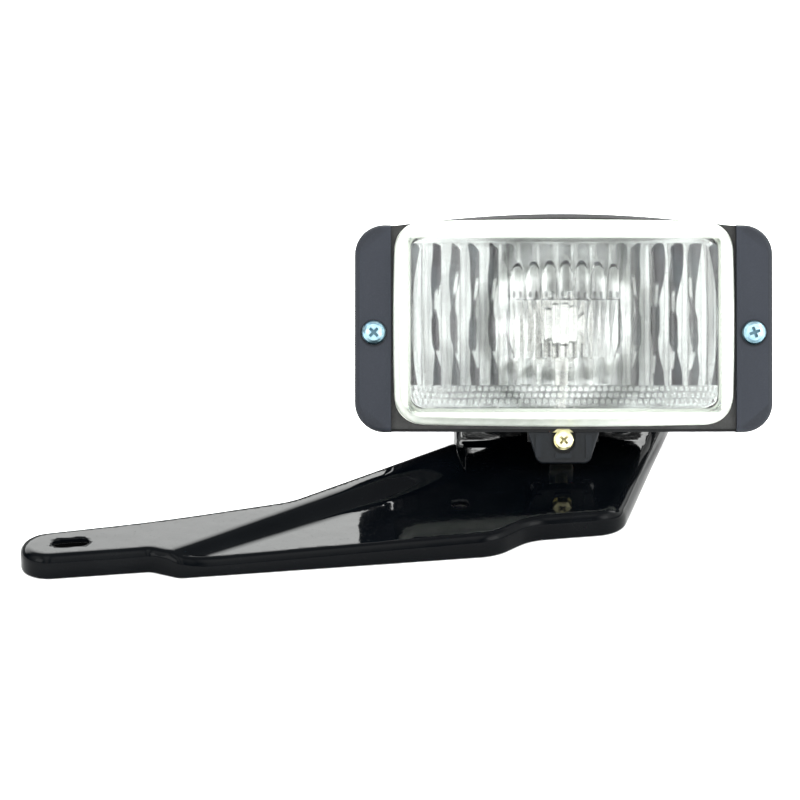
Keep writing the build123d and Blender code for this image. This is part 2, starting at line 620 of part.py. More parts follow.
def aim_screw():
    """Hex head screw with a cross recess and a flange, in a foot pocket."""
    under = POCKET_FLOOR - RUNNING
    top = under - 3.9
    head = slab(Pos(0, AIM_Z) * hexagon(AIM_AF), top, under - 0.7)
    crown = turned([(0, top), (2.9, top), (3.9, top + 0.7), (3.9, under - 0.7), (0, under - 0.7)], 0, AIM_Z)
    screw = (head & crown) + rod_y(3.6, under - 0.8, under, 0, AIM_Z)
    shank = turned([(0, under), (AIM_R, under), (AIM_R, AIM_TIP - 1.6), (1.2, AIM_TIP), (0, AIM_TIP)], 0, AIM_Z)
    return LAMP * (screw + shank - cross_recess(3.8, 0.95, top, 1.9, 0, AIM_Z, 45))


def screw_retainer():
    """Push-on washer that keeps the screw in the foot."""
    ring = turned([(AIM_R, 6.3), (4.8, 6.3), (4.8, 6.8), (3.4, 7.2), (AIM_R, 7.2)], 0, AIM_Z)
    return LAMP * ring


def ear_screws():
    """Pan head screws through the ears."""
    screws = []
    for side, turn in ((-1, 45), (1, 20)):
        x = side * EAR_SCREW_X
        head = turned([(0, -2.9), (1.6, -2.85), (3.0, -2.5), (4.0, -1.6), (4.5, -0.4), (4.5, 0), (0, 0)],
                      x, EAR_SCREW_Z)
        shank = rod_y(M5_R, -0.5, 11.2, x, EAR_SCREW_Z)
        screws.append(LAMP * (head + shank - cross_recess(4.2, 1.1, -2.9, 1.7, x, EAR_SCREW_Z, turn)))
    return screws


def ear_nuts():
    """Square nuts behind the housing's lugs."""
    back = BAND_FRONT + 2.0
    nut = slab(Pos(EAR_SCREW_X, EAR_SCREW_Z) * RectangleRounded(8.0, 8.0, 0.6), back, back + 2.3)
    nut = nut - rod_y(M5_R, back, back + 3, EAR_SCREW_X, EAR_SCREW_Z)
    return [LAMP * piece for piece in both_sides(nut)]


# ---- the whole light -------------------------------------------------------------------------------

PIECES = [
    bracket_arm, lamp_stay, stay_bolts, stay_nuts, aim_nut, pivot_pins, pivot_washers,
    housing, housing_seal, pivot_bushes, cable_grommet, drain_plug, aim_foot, foot_rivets,
    reflector, bulb_shield, bulb_holder, bulb_base, bulb_glass, filament, bulb_lead, clip_pin,
    bezel, lens, lens_sealant, lens_gasket, ear_screws, ear_nuts, aim_screw, screw_retainer, bulb_clip,
]


def write(name, shape):
    """Move a piece to the object's own origin and write it."""
    solids = shape if isinstance(shape, list) else [shape]
    group = Compound(children=[Pos(-ORIGIN_X, -ORIGIN_Y, 0) * solid for solid in solids])
    export_step(group, f"parts/{name}.step")
    return group.bounding_box()


def main():
    boxes = [write(piece.__name__, piece()) for piece in PIECES]
    low = [min(getattr(b.min, a) for b in boxes) for a in "XYZ"]
    high = [max(getattr(b.max, a) for b in boxes) for a in "XYZ"]
    print("box", [round(v, 3) for v in low], [round(v, 3) for v in high])


if __name__ == "__main__":
    main()
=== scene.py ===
import bmesh
import bpy
import json
from math import cos, floor, hypot, pi, radians, sin, sqrt, tan
from mathutils import Matrix, Vector
from mathutils.geometry import delaunay_2d_cdt


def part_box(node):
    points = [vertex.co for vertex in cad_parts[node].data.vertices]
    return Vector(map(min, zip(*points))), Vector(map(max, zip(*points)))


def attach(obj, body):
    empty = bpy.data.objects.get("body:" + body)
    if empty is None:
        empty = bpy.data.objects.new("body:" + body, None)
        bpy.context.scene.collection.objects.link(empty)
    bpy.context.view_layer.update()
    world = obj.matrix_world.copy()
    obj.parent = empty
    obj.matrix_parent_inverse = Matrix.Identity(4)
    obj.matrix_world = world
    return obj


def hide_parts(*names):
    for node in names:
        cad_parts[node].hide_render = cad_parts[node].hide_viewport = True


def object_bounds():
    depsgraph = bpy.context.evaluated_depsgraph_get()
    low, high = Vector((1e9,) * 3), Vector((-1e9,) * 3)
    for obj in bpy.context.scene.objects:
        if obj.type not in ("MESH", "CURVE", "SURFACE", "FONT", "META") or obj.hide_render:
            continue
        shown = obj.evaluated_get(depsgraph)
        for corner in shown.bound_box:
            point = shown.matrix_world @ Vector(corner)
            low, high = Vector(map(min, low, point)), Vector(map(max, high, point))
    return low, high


# A rectangular fog light on its pressed steel arm. Pieces are drawn in millimetres and placed in metres.

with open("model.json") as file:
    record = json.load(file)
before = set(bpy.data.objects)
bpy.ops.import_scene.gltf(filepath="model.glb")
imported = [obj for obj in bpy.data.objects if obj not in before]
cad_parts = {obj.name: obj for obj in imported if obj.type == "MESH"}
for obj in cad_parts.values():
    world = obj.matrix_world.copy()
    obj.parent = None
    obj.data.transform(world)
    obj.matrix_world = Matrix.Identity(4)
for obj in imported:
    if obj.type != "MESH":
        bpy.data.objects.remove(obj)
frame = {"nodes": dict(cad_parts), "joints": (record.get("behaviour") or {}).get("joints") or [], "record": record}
CAD_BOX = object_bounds()
MM = 0.001
NODES = frame["nodes"]

# The lamp's own frame: X to the side, depth rearwards from the ear faces, Z up the lens.
JOINTS = {j["name"]: j for j in frame["joints"]}
DEPTH = Vector(JOINTS["aim_screw_turn"]["axis"]).normalized()
UP = Vector((1, 0, 0)).cross(DEPTH)
PIVOT = Vector(JOINTS["lamp_tilt"]["pos_m"])
PIVOT_DEPTH, PIVOT_HEIGHT = 0.019, 0.002       # the pivot line, from the middle of the ear faces
FACE = PIVOT - DEPTH * PIVOT_DEPTH - UP * PIVOT_HEIGHT
LAMP = Matrix.Translation(FACE) @ Matrix(((1, 0, 0), (0, DEPTH.y, UP.y), (0, DEPTH.z, UP.z))).to_4x4()
EAR_SCREW_X, EAR_SCREW_LOW = 70.4, 1.5         # the ear screws' axes, out to the sides and below the middle


# ---- mesh helpers ----------------------------------------------------------------------------------

def make(name, verts, faces, slot, body, local, smooth):
    """A mesh piece in millimetres, placed by local, riding on a CAD body."""
    mesh = bpy.data.meshes.new(name)
    mesh.from_pydata([Vector(v) * MM for v in verts], [], faces)
    mesh.validate()
    mesh.transform(local)
    shell = bmesh.new()
    shell.from_mesh(mesh)
    bmesh.ops.remove_doubles(shell, verts=shell.verts, dist=1e-7)
    bmesh.ops.recalc_face_normals(shell, faces=shell.faces)
    open_edges = sum(1 for e in shell.edges if len(e.link_faces) != 2)
    if open_edges:
        print(name, "has open edges:", open_edges)
    shell.to_mesh(mesh)
    shell.free()
    mesh.materials.append(MATERIALS[slot])
    mesh.set_sharp_from_angle(angle=radians(smooth))
    piece = bpy.data.objects.new(name, mesh)
    bpy.context.scene.collection.objects.link(piece)
    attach(piece, body)
    return piece


def resample(loop, step):
    """The same closed loop with points no further apart than step."""
    out = []
    for a, b in zip(loop, loop[1:] + loop[:1]):
        n = max(1, round(hypot(b[0] - a[0], b[1] - a[1]) / step))
        out += [(a[0] + (b[0] - a[0]) * i / n, a[1] + (b[1] - a[1]) * i / n) for i in range(n)]
    return out


def rounded(corners, radii, steps=9):
    """Closed loop through corners, each rounded by its radius."""
    out = []
    n = len(corners)
    for i, (corner, r) in enumerate(zip(corners, radii)):
        p = Vector(corner)
        a = (Vector(corners[i - 1]) - p).normalized()
        b = (Vector(corners[(i + 1) % n]) - p).normalized()
        if r <= 0:
            out.append(tuple(p))
            continue
        half = a.angle(b) / 2
        c = p + (a + b).normalized() * (r / sin(half))
        s = p + a * (r / tan(half)) - c
        e = p + b * (r / tan(half)) - c
        sweep = s.angle_signed(e)
        for k in range(steps + 1):
            d = s.copy()
            d.rotate(Matrix.Rotation(-sweep * k / steps, 2))
            out.append(tuple(c + d))
    return out


def inset(loop, distance):
    """Counter-clockwise loop moved inwards, point for point, by one distance or one for each point."""
    n = len(loop)
    out = []
    steps = distance if isinstance(distance, list) else [distance] * n
    for i, (p, step) in enumerate(zip(loop, steps)):
        a, b = loop[i - 1], loop[(i + 1) % n]
        t1 = Vector((p[0] - a[0], p[1] - a[1])).normalized()
        t2 = Vector((b[0] - p[0], b[1] - p[1])).normalized()
        t = (t1 + t2).normalized()
        grow = 1 / max(0.5, t.dot(t1))
        out.append((p[0] - t.y * step * grow, p[1] + t.x * step * grow))
    return out


def circle(x, y, r, steps=40):
    """Circle, counter-clockwise."""
    return [(x + r * cos(2 * pi * k / steps), y + r * sin(2 * pi * k / steps)) for k in range(steps)]


def slot_loop(x, y, length, width, turn, steps=14):
    """Round-ended slot, counter-clockwise."""
    r = width / 2
    reach = length / 2 - r
    pts = []
    for side in (1, -1):
        for k in range(steps + 1):
            a = -pi / 2 + pi * k / steps
            pts.append((side * (reach + r * cos(a)), side * r * sin(a)))
    c, s = cos(turn), sin(turn)
    return [(x + px * c - py * s, y + px * s + py * c) for px, py in pts]


def inside(x, y, loop):
    """Whether a point is inside a closed loop."""
    hit = False
    for (x0, y0), (x1, y1) in zip(loop, loop[1:] + loop[:1]):
        if (y0 > y) != (y1 > y) and x < (x1 - x0) * (y - y0) / (y1 - y0) + x0:
            hit = not hit
    return hit


def row_spans(y, loops):
    """Where a level line lies inside the outline and outside the holes, as crossing points."""
    xs = []
    for loop in loops:
        for (x0, y0), (x1, y1) in zip(loop, loop[1:] + loop[:1]):
            if (y0 > y) != (y1 > y):
                xs.append((x1 - x0) * (y - y0) / (y1 - y0) + x0)
    xs.sort()
    return list(zip(xs[::2], xs[1::2]))


def fill(outer, holes, dx, dy):
    """Triangles over the outline less its holes, on a fine even grid. Points come back outline first."""
    loops = [outer] + holes
    pts = [Vector(p) for loop in loops for p in loop]
    edges = []
    start = 0
    for loop in loops:
        n = len(loop)
        edges += [(start + i, start + (i + 1) % n) for i in range(n)]
        start += n
    ys = [p[1] for p in outer]
    row = 0
    y = min(ys) + dy * 0.6
    while y < max(ys):
        for x0, x1 in row_spans(y, loops):
            x = (floor(x0 / dx) + 1 + 0.5 * (row % 2)) * dx
            while x < x1 - dx * 0.45:
                if x > x0 + dx * 0.45:
                    pts.append(Vector((x, y)))
                x += dx
        y += dy
        row += 1
    verts, _, tris, _, _, _ = delaunay_2d_cdt(pts, edges, [], 0, 1e-5)
    keep = []
    for t in tris:
        cx = sum(verts[i][0] for i in t) / 3
        cy = sum(verts[i][1] for i in t) / 3
        if inside(cx, cy, outer) and not any(inside(cx, cy, h) for h in holes):
            keep.append(tuple(t))
    return [(v[0], v[1]) for v in verts], keep


def bridge(faces, a, b, n):
    """Quads between two rings of n points that start at a and b."""
    for i in range(n):
        j = (i + 1) % n
        faces.append((a + i, a + j, b + j, b + i))


# ---- node materials --------------------------------------------------------------------------------

class Nodes:
    """Short way to write a material's nodes."""

    def __init__(self, name):
        self.mat = bpy.data.materials.new(name)
        self.mat.use_nodes = True
        self.tree = self.mat.node_tree
        self.tree.nodes.clear()
        self.out = self.tree.nodes.new("ShaderNodeOutputMaterial")
        self.place = self.node("ShaderNodeTexCoord").outputs["Object"]

    def node(self, kind, **values):
        n = self.tree.nodes.new(kind)
        for key, value in values.items():
            setattr(n, key, value)
        return n

    def put(self, socket, value):
        if isinstance(value, bpy.types.NodeSocket):
            self.tree.links.new(value, socket)
        else:
            socket.default_value = value

    def scaled(self, sx, sy, sz):
        m = self.node("ShaderNodeMapping")
        m.inputs["Scale"].default_value = (sx, sy, sz)
        self.put(m.inputs["Vector"], self.place)
        return m.outputs[0]

    def noise(self, scale, detail=3.0, rough=0.5, vector=None, distortion=0.0):
        n = self.node("ShaderNodeTexNoise")
        self.put(n.inputs["Vector"], vector or self.place)
        n.inputs["Scale"].default_value = scale
        n.inputs["Detail"].default_value = detail
        n.inputs["Roughness"].default_value = rough
        n.inputs["Distortion"].default_value = distortion
        return n.outputs["Fac"]

    def grey(self, value, low, high, a=0.0, b=1.0):
        m = self.node("ShaderNodeMapRange")
        self.put(m.inputs["Value"], value)
        for key, v in (("From Min", low), ("From Max", high), ("To Min", a), ("To Max", b)):
            m.inputs[key].default_value = v
        return m.outputs[0]

    def math(self, op, a, b=0.0):
        m = self.node("ShaderNodeMath", operation=op)
        self.put(m.inputs[0], a)
        self.put(m.inputs[1], b)
        return m.outputs[0]

    def mix(self, share, a, b):
        m = self.node("ShaderNodeMix", data_type="RGBA")
        self.put(m.inputs[0], share)
        self.put(m.inputs[6], (*a, 1) if isinstance(a, tuple) else a)
        self.put(m.inputs[7], (*b, 1) if isinstance(b, tuple) else b)
        return m.outputs[2]

    def bump(self, height, strength, distance, under=None):
        b = self.node("ShaderNodeBump")
        b.inputs["Strength"].default_value = strength
        b.inputs["Distance"].default_value = distance
        self.put(b.inputs["Height"], height)
        if under is not None:
            self.put(b.inputs["Normal"], under)
        return b.outputs[0]

    def vector(self, op, a, b=(0.0, 0.0, 0.0)):
        m = self.node("ShaderNodeVectorMath", operation=op)
        self.put(m.inputs[0], a)
        self.put(m.inputs[1], tuple(b) if not isinstance(b, bpy.types.NodeSocket) else b)
        return m

    def behind(self, start, end):
        """0 in front of one depth behind the ear faces, 1 past the other, in millimetres."""
        away = self.vector("SUBTRACT", self.place, FACE)
        depth = self.vector("DOT_PRODUCT", away.outputs["Vector"], DEPTH).outputs["Value"]
        return self.grey(depth, start * MM, end * MM)

    def facing_down(self, low, high):
        """Share of a surface that is turned towards the floor."""
        normal = self.node("ShaderNodeTexCoord").outputs["Normal"]
        up = self.vector("DOT_PRODUCT", normal, UP).outputs["Value"]
        return self.grey(up, -low, -high)

    def edges(self, radius):
        """Share of convex edge at a point."""
        g = self.node("ShaderNodeNewGeometry")
        return self.grey(g.outputs["Pointiness"], 0.5, 0.5 + radius)

    def surface(self, **values):
        s = self.node("ShaderNodeBsdfPrincipled")
        for key, value in values.items():
            key = key.replace("_", " ").title() if key.islower() else key
            key = {"Ior": "IOR", "Specular": "Specular IOR Level", "Transmission": "Transmission Weight",
                   "Emission": "Emission Color"}.get(key, key)
            if isinstance(value, tuple) and len(value) == 3:
                value = (*value, 1)
            self.put(s.inputs[key], value)
        self.tree.links.new(s.outputs[0], self.out.inputs[0])
        return s


def from_screws(n, drop):
    """Distance from the nearer ear screw's axis, which may be taken a little lower than it is."""
    seat = FACE - UP * ((EAR_SCREW_LOW + drop) * MM)
    split = n.node("ShaderNodeSeparateXYZ")
    n.put(split.inputs[0], n.vector("SUBTRACT", n.place, seat).outputs["Vector"])
    level = n.node("ShaderNodeCombineXYZ")
    n.put(level.inputs[0], n.math("SUBTRACT", n.math("ABSOLUTE", split.outputs[0]), EAR_SCREW_X * MM))
    n.put(level.inputs[1], split.outputs[1])
    n.put(level.inputs[2], split.outputs[2])
    across = n.vector("CROSS_PRODUCT", level.outputs[0], DEPTH)
    return n.vector("LENGTH", across.outputs["Vector"]).outputs["Value"]


def enamel():
    """Thick gloss black stoving enamel: faint orange peel, dust nibs and dull smears."""
    n = Nodes("arm_gloss_black")
    peel = n.noise(380, 2.0)
    wave = n.noise(55, 2.0)
    nib = n.grey(n.noise(1500, 2.0), 0.70, 0.78)
    smear = n.grey(n.noise(24, 4.0, 0.6, distortion=0.8), 0.45, 0.75)
    colour = n.mix(smear, (0.0006, 0.0010, 0.0016), (0.0016, 0.0021, 0.0028))
    rough = n.grey(smear, 0, 1, 0.045, 0.11)
    normal = n.bump(wave, 0.25, 0.0006)
    normal = n.bump(peel, 0.10, 0.00015, normal)
    normal = n.bump(nib, 0.25, 0.00006, normal)
    n.surface(base_color=colour, roughness=rough, normal=normal, specular=0.06, ior=1.5)
    return n.mat


def paint(name, low, high, gloss, bump=0.15, specular=0.5, ior=1.5, graze=0.0):
    """Sprayed paint with orange peel and slightly uneven gloss, which may dull towards its horizon."""
    n = Nodes(name)
    patch = n.noise(45, 4.0, 0.6)
    peel = n.noise(900, 2.0)
    colour = n.mix(n.grey(patch, 0.35, 0.65), low, high)
    rough = n.grey(patch, 0.3, 0.7, gloss, gloss * 1.6)
    shine = n.surface(base_color=colour, roughness=rough, normal=n.bump(peel, bump, 0.0001),
                      specular=specular, ior=ior)
    if graze:
        rim = n.node("ShaderNodeLayerWeight")
        rim.inputs["Blend"].default_value = 0.5
        matte = n.node("ShaderNodeBsdfDiffuse")
        n.put(matte.inputs["Color"], colour)
        join = n.node("ShaderNodeMixShader")
        n.put(join.inputs[0], n.grey(rim.outputs["Facing"], 0.55, 0.85, 0.0, graze))
        n.put(join.inputs[1], shine.outputs[0])
        n.put(join.inputs[2], matte.outputs[0])
        n.put(n.out.inputs[0], join.outputs[0])
    return n.mat


# radii of the painted shadow ring round an ear screw's head, and of the painted shade in its cross recess
SCREW_SHADOW_IN, SCREW_SHADOW_OUT = 4.75, 5.2                # dark ring round an ear screw's head
RECESS_IN, RECESS_OUT = 2.3, 2.7               # reach of its cross recess


def moulded(name, low, high, rough, grain=2600, depth=0.35, specular=0.4, seats=False, pocket=None):
    """Moulded plastic: fine spark-eroded grain, a painted highlight on convex edges, faint flow marks.

    Seats adds a painted shadow ring round the ear screws, and pocket gives the two depths between which painted
    shade darkens the plastic in its recesses."""
    n = Nodes(name)
    fine = n.noise(grain, 3.0, 0.6)
    flow = n.noise(60, 3.0, 0.5, n.scaled(1, 1, 0.3))
    fleck = n.grey(n.noise(grain * 0.55, 2.0), 0.56, 0.70)
    base = n.mix(n.grey(flow, 0.3, 0.7), low, high)
    pale_fleck_and_edge_highlight = tuple(min(1.0, c * 1.7) for c in high)
    colour = n.mix(n.math("MULTIPLY", fleck, 0.35), base, pale_fleck_and_edge_highlight)
    # painted highlight: convex edges are lightened
    colour = n.mix(n.math("MULTIPLY", n.edges(0.06), 0.5), colour, pale_fleck_and_edge_highlight)
    # painted shadow: a dark ring round each ear screw's head, reaching further below it
    if seats:
        screw_shadow = n.grey(from_screws(n, 0.25), SCREW_SHADOW_OUT * MM, SCREW_SHADOW_IN * MM)
        colour = n.mix(screw_shadow, colour, (0.002, 0.004, 0.007))
    # painted shade: the plastic darkens in its recesses, past the first depth behind the ear faces
    if pocket:
        colour = n.mix(n.behind(*pocket), colour, (0.0015, 0.002, 0.0025))
    n.surface(base_color=colour, roughness=n.grey(fine, 0.3, 0.7, rough, rough + 0.14),
              normal=n.bump(fine, depth, 0.00012), specular=specular)
    return n.mat


def plated(name, base, tint, dark, rough=0.22, under=0.0, recess=False):
    """Plated or bare metal: cloudy colours, fine drawn lines, and painted shade in hollows.

    Under is the share of painted shade on a downward side, and recess adds painted shade in the ear screws'
    crosses."""
    n = Nodes(name)
    cloud = n.noise(420, 4.0, 0.6, distortion=1.0)
    lines = n.noise(1800, 2.0, 0.5, n.scaled(1, 6, 1))
    colour = n.mix(n.grey(cloud, 0.35, 0.7), base, tint)
    # painted shade: concave places darken towards the dark colour
    g = n.node("ShaderNodeNewGeometry")
    hollow = n.grey(g.outputs["Pointiness"], 0.50, 0.44)
    colour = n.mix(n.math("MULTIPLY", hollow, 0.85), colour, dark)
    # painted shade on faces turned towards the floor
    colour = n.mix(n.math("MULTIPLY", n.facing_down(0.30, 0.80), under), colour, dark)
    # painted shade in the cross recesses of the ear screws
    if recess:
        cross_recess_shade = n.grey(from_screws(n, 0.0), RECESS_OUT * MM, RECESS_IN * MM)
        cross_recess_shade = n.math("MULTIPLY", cross_recess_shade, n.behind(-2.7, -2.0))
        colour = n.mix(n.math("MULTIPLY", cross_recess_shade, 0.75), colour, dark)
    n.surface(base_color=colour, metallic=1.0, roughness=n.grey(cloud, 0.3, 0.7, rough, rough + 0.16),
              normal=n.bump(lines, 0.12, 0.00008))
    return n.mat


def aluminised():
    """Vacuum-metallised reflector lacquer with faint ripple and dust."""
    n = Nodes("aluminised")
    ripple = n.noise(90, 2.0)
    dust = n.grey(n.noise(900, 3.0), 0.58, 0.8)
    colour = n.mix(dust, (0.94, 0.95, 0.955), (0.86, 0.87, 0.875))
    n.surface(base_color=colour, metallic=1.0, roughness=n.grey(dust, 0, 1, 0.15, 0.24),
              normal=n.bump(ripple, 0.12, 0.0004))
    return n.mat


def quartz():
    """Clear quartz of the bulb, drawn with slight ripple."""
    n = Nodes("bulb_quartz")
    wave = n.noise(200, 2.0)
    n.surface(base_color=(1.0, 1.0, 1.0), roughness=0.0, transmission=1.0, ior=1.46,
              normal=n.bump(wave, 0.02, 0.0005))
    return n.mat


def lens_glass():
    """Pressed glass with slight ripple, tinted with painted dark reflections from the prisms; its cemented rim is
    frosted pale.
    """
    n = Nodes("lens_glass")
    wave = n.noise(70, 2.0)
    # the shade attribute holds the painted dark reflections of the prisms
    shade = n.node("ShaderNodeAttribute", attribute_name="shade").outputs["Color"]
    rim = n.node("ShaderNodeAttribute", attribute_name="rim").outputs["Color"]
    clear = n.surface(base_color=shade, roughness=0.0, transmission=1.0, ior=1.33,
                      normal=n.bump(wave, 0.06, 0.0005))
    streak = n.grey(n.noise(260, 3.0, 0.6), 0.3, 0.7)
    frost = n.node("ShaderNodeBsdfPrincipled")
    n.put(frost.inputs["Base Color"], n.mix(streak, (0.70, 0.75, 0.68), (0.82, 0.86, 0.80)))
    frost.inputs["Roughness"].default_value = 0.12
    join = n.node("ShaderNodeMixShader")
    n.put(join.inputs[0], rim)
    n.put(join.inputs[1], clear.outputs[0])
    n.put(join.inputs[2], frost.outputs[0])
    n.put(n.out.inputs[0], join.outputs[0])
    return n.mat


def rubber():
    """Dull black rubber with a dusty bloom."""
    n = Nodes("black_rubber")
    fine = n.noise(1500, 3.0, 0.6)
    patch = n.grey(n.noise(80, 3.0), 0.4, 0.7)
    n.surface(base_color=n.mix(patch, (0.012, 0.012, 0.012), (0.03, 0.03, 0.031)),
              roughness=n.grey(fine, 0.3, 0.7, 0.55, 0.75), normal=n.bump(fine, 0.3, 0.0001), specular=0.35)
    return n.mat


def nylon():
    """Natural white nylon, slightly translucent."""
    n = Nodes("white_nylon")
    patch = n.noise(150, 3.0)
    s = n.surface(base_color=n.mix(n.grey(patch, 0.3, 0.7), (0.80, 0.78, 0.72), (0.88, 0.87, 0.83)),
                  roughness=n.grey(patch, 0.3, 0.7, 0.38, 0.5), normal=n.bump(n.noise(900), 0.1, 0.0001))
    s.inputs["Subsurface Weight"].default_value = 0.15
    return n.mat


def sealant():
    """Cured pale sealant with a slightly uneven surface."""
    n = Nodes("sealant_cream")
    patch = n.noise(140, 4.0, 0.6)
    s = n.surface(base_color=n.mix(n.grey(patch, 0.3, 0.7), (0.90, 0.93, 0.84), (0.97, 0.98, 0.93)),
                  roughness=n.grey(patch, 0.3, 0.7, 0.35, 0.55), normal=n.bump(patch, 0.3, 0.0003))
    s.inputs["Subsurface Weight"].default_value = 0.1
    return n.mat


def tungsten():
    """Drawn wire of the filament."""
    n = Nodes("tungsten")
    wire = n.noise(5000, 2.0, 0.5, n.scaled(30, 1, 1))
    n.surface(base_color=n.mix(wire, (0.25, 0.24, 0.23), (0.45, 0.44, 0.42)), metallic=1.0,
              roughness=n.grey(wire, 0.3, 0.7, 0.3, 0.5), normal=n.bump(wire, 0.5, 0.0001))
    return n.mat


MATERIALS = {
    "arm_gloss_black": enamel(),
    "stay_black": paint("stay_black", (0.008, 0.008, 0.009), (0.018, 0.018, 0.019), 0.22),
    "housing_gloss_black": paint("housing_gloss_black", (0.006, 0.006, 0.007), (0.011, 0.011, 0.012), 0.14,
                                 0.10, ior=1.22, graze=0.86),
    "bezel_plastic": moulded("bezel_plastic", (0.0075, 0.0090, 0.0132), (0.0104, 0.0124, 0.0176), 0.55,
                             specular=0.24, seats=True, pocket=(2.2, 2.9)),
    "foot_plastic": moulded("foot_plastic", (0.0022, 0.0030, 0.0042), (0.0042, 0.0056, 0.0075), 0.36, 1800,
                            0.2, 0.2, pocket=(3.3, 4.2)),
    "lens_glass": lens_glass(),
    "aluminised": aluminised(),
    "zinc_blue": plated("zinc_blue", (0.21, 0.37, 0.48), (0.37, 0.52, 0.58), (0.02, 0.06, 0.08), 0.26, 0.9,
                        recess=True),
    "zinc_clear": plated("zinc_clear", (0.55, 0.57, 0.59), (0.66, 0.66, 0.64), (0.08, 0.08, 0.08), 0.26),
    "zinc_yellow": plated("zinc_yellow", (0.78, 0.72, 0.38), (0.93, 0.89, 0.62), (0.05, 0.035, 0.01), 0.28,
                          0.45),
    "white_nylon": nylon(),
    "sealant_cream": sealant(),
    "black_rubber": rubber(),
    "bulb_steel": plated("bulb_steel", (0.60, 0.60, 0.60), (0.72, 0.71, 0.69), (0.12, 0.12, 0.12), 0.2),
    "bulb_quartz": quartz(),
    "tungsten": tungsten(),
    "lead_insulation": moulded("lead_insulation", (0.010, 0.010, 0.011), (0.02, 0.02, 0.022), 0.4, 2000,
                               0.1),
    "spring_steel": plated("spring_steel", (0.5, 0.51, 0.52), (0.62, 0.62, 0.62), (0.1, 0.1, 0.1), 0.18),
}
# each CAD node takes the material of its slot
for entry in frame["record"]["subparts"]:
    node = NODES[entry["node"]]
    node.data.materials.clear()
    node.data.materials.append(MATERIALS[entry["material_slot"]])
    node.data.set_sharp_from_angle(angle=radians(32))


# ---- pressed steel arm with rounded bends ----------------------------------------------------------

PLATE_TOP = 8.8
SHEET = 2.3
BEND = 3.3                     # outside radius where the flange turns down
SIDE_BEND = 6.4                # and where it turns down along the plate's right side,
SIDE_BEND_X, SIDE_BEND_BACK = 14.0, 74.0       # which is right of the one and in front of the other
RIM = 0.35                     # rounding of the slot's and holes' edges
TIP, TIP_RADIUS = (-184.7, -57.2), 10.8
# x, y and radius of the outline's other corners
ARM_CORNERS = [(-149.0, -62.6, 6.0), (-138.5, -67.6, 6.0), (-26.0, -50.4, 17.0), (-13.5, -38.2, 17.0),
               (19.8, -32.6, 13.0), (49.8, 76.0, 6.0), (-40.0, 76.0, 6.0), (-40.0, 20.0, 10.0),
               (-101.0, -25.2, 22.0)]
SLOT_AT, SLOT_LENGTH, SLOT_WIDTH, SLOT_TURN = (-177.6, -56.3), 13.0, 6.8, radians(9.0)
HOLE_AT, HOLE_RADIUS = (-38.8, -23.4), 3.0
FIXING_X, FIXING_Y, FIXING_RADIUS = 28.0, 69.0, 4.25
BOLT_X, BOLT_Y, BOLT_RADIUS = 25.0, 53.5, 3.3
PANEL_AT = (-24.3, -51.4)      # the sloping panel is level with the plate here
PANEL_SLOPE_X, PANEL_SLOPE_Y = 0.0234, -0.01144
SEAT_Y, SEAT_SLOPE = 28.0, 0.7                 # the stay's flat seat drops to the panel in front of here
RIB_START, RIB_END, RIB_BACK = -147.0, -36.6, 30.0
RIB_RISE = 0.045               # slope of the rib's top along the arm
RIB_WALL_Y, RIB_WALL_SLOPE_X, RIB_WALL_SLOPE_Y = -68.6, -0.34, 0.53    # the rib's front wall
ARM = Matrix.Translation((FACE.x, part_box("bracket_arm")[1].y - 0.076, 0))


def smin(a, b, k):
    """The lower of two heights, blended where they are within k of each other."""
    h = max(k - abs(a - b), 0.0) / k
    return min(a, b) - h * h * k / 4


def smax(a, b, k):
    """The higher of two heights, blended in the same way."""
    return -smin(-a, -b, k)


def edge_fade(value, width):
    """0 at an edge, 1 once width inside it."""
    s = min(max(value / width, 0.0), 1.0)
    return s * s * (3 - 2 * s)


def arm_top(x, y):
    """Height of the pressed sheet's upper face: the sloping panel, the stay's seat and the raised rib."""
    slope = PANEL_SLOPE_X * (x - PANEL_AT[0]), PANEL_SLOPE_Y * (y - PANEL_AT[1])
    panel = smin(PLATE_TOP, PLATE_TOP + slope[0] + slope[1], 0.35)
    seat = smin(PLATE_TOP, PLATE_TOP + SEAT_SLOPE * (y - SEAT_Y), 1.0)
    low = smax(panel, seat, 0.25)
    rib = min(PLATE_TOP + RIB_RISE * (x - RIB_START), PLATE_TOP + (RIB_BACK - y) * 4)
    raised = smax(PLATE_TOP, rib, 0.8)
    wall = PLATE_TOP + RIB_WALL_SLOPE_X * (x - RIB_START) + RIB_WALL_SLOPE_Y * (y - RIB_WALL_Y)
    raised = smin(raised, wall, 1.3)
    raised = smin(raised, PLATE_TOP + (RIB_END - x) * 1.5, 1.0)
    return smax(low, raised, 1.5)


def arm_openings(rim):
    """Outlines of the arm's slot and holes, each grown by rim."""
    loops = [slot_loop(*SLOT_AT, SLOT_LENGTH + 2 * rim, SLOT_WIDTH + 2 * rim, SLOT_TURN)]
    loops += [circle(*HOLE_AT, HOLE_RADIUS + rim)]
    loops += [circle(side * FIXING_X, FIXING_Y, FIXING_RADIUS + rim) for side in (-1, 1)]
    loops += [circle(side * BOLT_X, BOLT_Y, BOLT_RADIUS + rim) for side in (-1, 1)]
    return loops


def side_bend(x, y):
    """Radius of the bend at a point of the outline."""
    return BEND + (SIDE_BEND - BEND) * edge_fade(x - SIDE_BEND_X, 9.0) * edge_fade(SIDE_BEND_BACK - y, 6.0)


